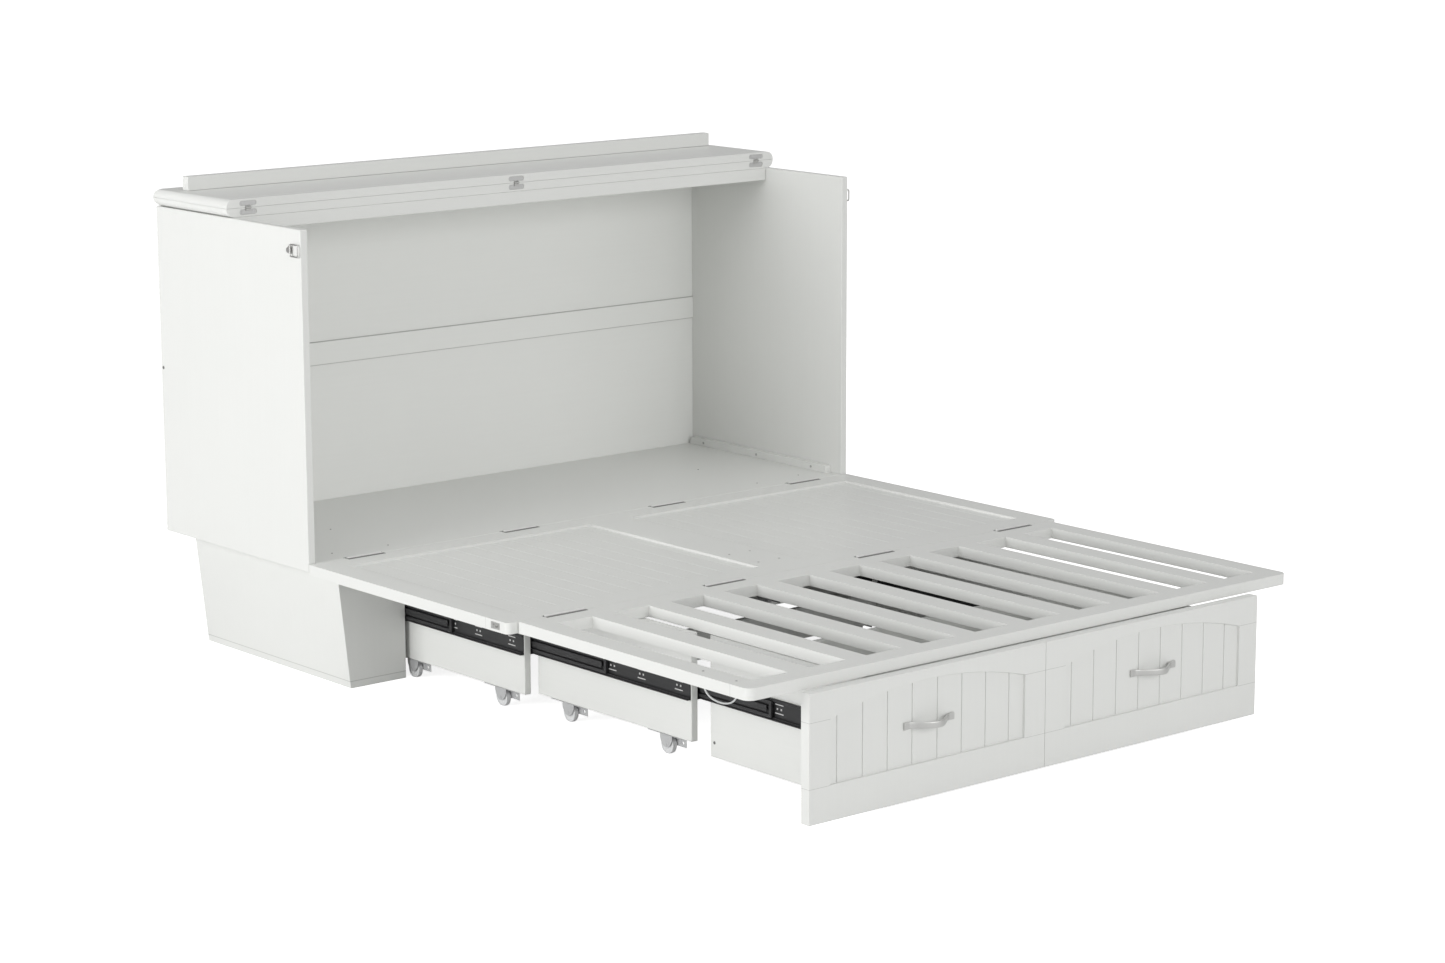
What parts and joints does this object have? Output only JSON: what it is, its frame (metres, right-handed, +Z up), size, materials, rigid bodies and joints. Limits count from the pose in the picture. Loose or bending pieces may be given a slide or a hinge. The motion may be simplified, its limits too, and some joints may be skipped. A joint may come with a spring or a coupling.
{
  "type": "murphy wall bed",
  "caption": "Free-standing low cabinet bed shown open: hinged top flap, two folding platform panels, nested sliding frames on casters and a wide drawer at the foot.",
  "frame": {"origin": "on the floor under the middle of the open bed's bounding box", "axes": "+X to the right of a person at the foot facing the bed, +Y from the foot towards the cabinet, +Z up"},
  "size_m": [1.6536, 2.1674, 1.1404],
  "materials": {
    "painted_wood": "satin paint",
    "nickel": "satin",
    "black_slide": "satin black",
    "zinc": "satin",
    "grey_wheel": "matte"
  },
  "bodies": {
    "cabinet": {"left_side_panel": "painted_wood", "right_side_panel": "painted_wood", "cabinet_floor": "painted_wood", "back_panel": "painted_wood", "top_board": "painted_wood", "top_apron": "painted_wood", "left_pedestal": "painted_wood", "right_pedestal": "painted_wood", "flap_hinge_1": "nickel", "flap_hinge_2": "nickel", "flap_hinge_3": "nickel", "deck_hinge_1": "nickel", "deck_hinge_2": "nickel", "deck_hinge_3": "nickel", "deck_hinge_4": "nickel"},
    "flap": {"top_flap": "painted_wood", "flap_rail": "painted_wood"},
    "middle_panel": {"mid_panel": "painted_wood", "fold_hinge_1": "nickel", "fold_hinge_2": "nickel", "fold_hinge_3": "nickel", "fold_hinge_4": "nickel"},
    "foot_panel": {"foot_deck": "painted_wood"},
    "stage1": {"stage1_left_board": "painted_wood", "stage1_left_slide": "black_slide", "stage1_right_board": "painted_wood", "stage1_right_slide": "black_slide", "stage1_cross_rail": "painted_wood", "stage1_left_front_bracket": "zinc", "stage1_left_rear_bracket": "zinc", "stage1_right_front_bracket": "zinc", "stage1_right_rear_bracket": "zinc"},
    "stage2": {"stage2_left_board": "painted_wood", "stage2_left_slide": "black_slide", "stage2_right_board": "painted_wood", "stage2_right_slide": "black_slide", "stage2_cross_rail": "painted_wood", "stage2_left_front_bracket": "zinc", "stage2_left_rear_bracket": "zinc", "stage2_right_front_bracket": "zinc", "stage2_right_rear_bracket": "zinc"},
    "drawer": {"drawer_front": "painted_wood", "drawer_back": "painted_wood", "drawer_bottom": "painted_wood", "drawer_left_side": "painted_wood", "drawer_right_side": "painted_wood", "drawer_left_handle": "nickel", "drawer_right_handle": "nickel", "stage3_left_slide": "black_slide", "stage3_right_slide": "black_slide"},
    "stage1_left_front_wheel": {"stage1_left_front_wheel": "grey_wheel"},
    "stage1_left_rear_wheel": {"stage1_left_rear_wheel": "grey_wheel"},
    "stage1_right_front_wheel": {"stage1_right_front_wheel": "grey_wheel"},
    "stage1_right_rear_wheel": {"stage1_right_rear_wheel": "grey_wheel"},
    "stage2_left_front_wheel": {"stage2_left_front_wheel": "grey_wheel"},
    "stage2_left_rear_wheel": {"stage2_left_rear_wheel": "grey_wheel"},
    "stage2_right_front_wheel": {"stage2_right_front_wheel": "grey_wheel"},
    "stage2_right_rear_wheel": {"stage2_right_rear_wheel": "grey_wheel"},
    "left_latch_loop": {"left_latch_loop": "nickel"},
    "right_latch_loop": {"right_latch_loop": "nickel"}
  },
  "joints": [
    {"name": "flap_fold", "type": "hinge", "parent": "cabinet", "child": "flap", "pos_m": [0, 0.7622, 1.0866], "axis": [1, 0, 0], "range_deg": [0, 180]},
    {"name": "middle_fold", "type": "hinge", "parent": "cabinet", "child": "middle_panel", "pos_m": [0, 0.4693, 0.307], "axis": [-1, 0, 0], "range_deg": [0, 90]},
    {"name": "foot_fold", "type": "hinge", "parent": "middle_panel", "child": "foot_panel", "pos_m": [0, -0.2805, 0.308], "axis": [-1, 0, 0], "range_deg": [0, 180]},
    {"name": "stage1_slide", "type": "slide", "parent": "cabinet", "child": "stage1", "axis": [0, 1, 0], "range_m": [0, 0.4412]},
    {"name": "stage2_slide", "type": "slide", "parent": "stage1", "child": "stage2", "axis": [0, 1, 0], "range_m": [0, 0.544]},
    {"name": "drawer_slide", "type": "slide", "parent": "stage2", "child": "drawer", "axis": [0, 1, 0], "range_m": [0, 0.5144]},
    {"name": "stage1_left_front_wheel_spin", "type": "hinge", "parent": "stage1", "child": "stage1_left_front_wheel", "pos_m": [-0.53465, 0.1207, 0.0205], "axis": [1, 0, 0], "continuous": true},
    {"name": "stage1_left_rear_wheel_spin", "type": "hinge", "parent": "stage1", "child": "stage1_left_rear_wheel", "pos_m": [-0.53465, 0.4617, 0.0205], "axis": [1, 0, 0], "continuous": true},
    {"name": "stage1_right_front_wheel_spin", "type": "hinge", "parent": "stage1", "child": "stage1_right_front_wheel", "pos_m": [0.53465, 0.1207, 0.0205], "axis": [1, 0, 0], "continuous": true},
    {"name": "stage1_right_rear_wheel_spin", "type": "hinge", "parent": "stage1", "child": "stage1_right_rear_wheel", "pos_m": [0.53465, 0.4617, 0.0205], "axis": [1, 0, 0], "continuous": true},
    {"name": "stage2_left_front_wheel_spin", "type": "hinge", "parent": "stage2", "child": "stage2_left_front_wheel", "pos_m": [-0.50365, -0.4293, 0.0205], "axis": [1, 0, 0], "continuous": true},
    {"name": "stage2_left_rear_wheel_spin", "type": "hinge", "parent": "stage2", "child": "stage2_left_rear_wheel", "pos_m": [-0.50365, -0.0873, 0.0205], "axis": [1, 0, 0], "continuous": true},
    {"name": "stage2_right_front_wheel_spin", "type": "hinge", "parent": "stage2", "child": "stage2_right_front_wheel", "pos_m": [0.50365, -0.4293, 0.0205], "axis": [1, 0, 0], "continuous": true},
    {"name": "stage2_right_rear_wheel_spin", "type": "hinge", "parent": "stage2", "child": "stage2_right_rear_wheel", "pos_m": [0.50365, -0.0873, 0.0205], "axis": [1, 0, 0], "continuous": true},
    {"name": "left_latch_loop_turn", "type": "hinge", "parent": "cabinet", "child": "left_latch_loop", "pos_m": [-0.8223, 0.5097, 1.0185], "axis": [1, 0, 0], "range_deg": [-90, 90]},
    {"name": "right_latch_loop_turn", "type": "hinge", "parent": "cabinet", "child": "right_latch_loop", "pos_m": [0.8223, 0.5097, 1.0185], "axis": [1, 0, 0], "range_deg": [-90, 90]}
  ]
}
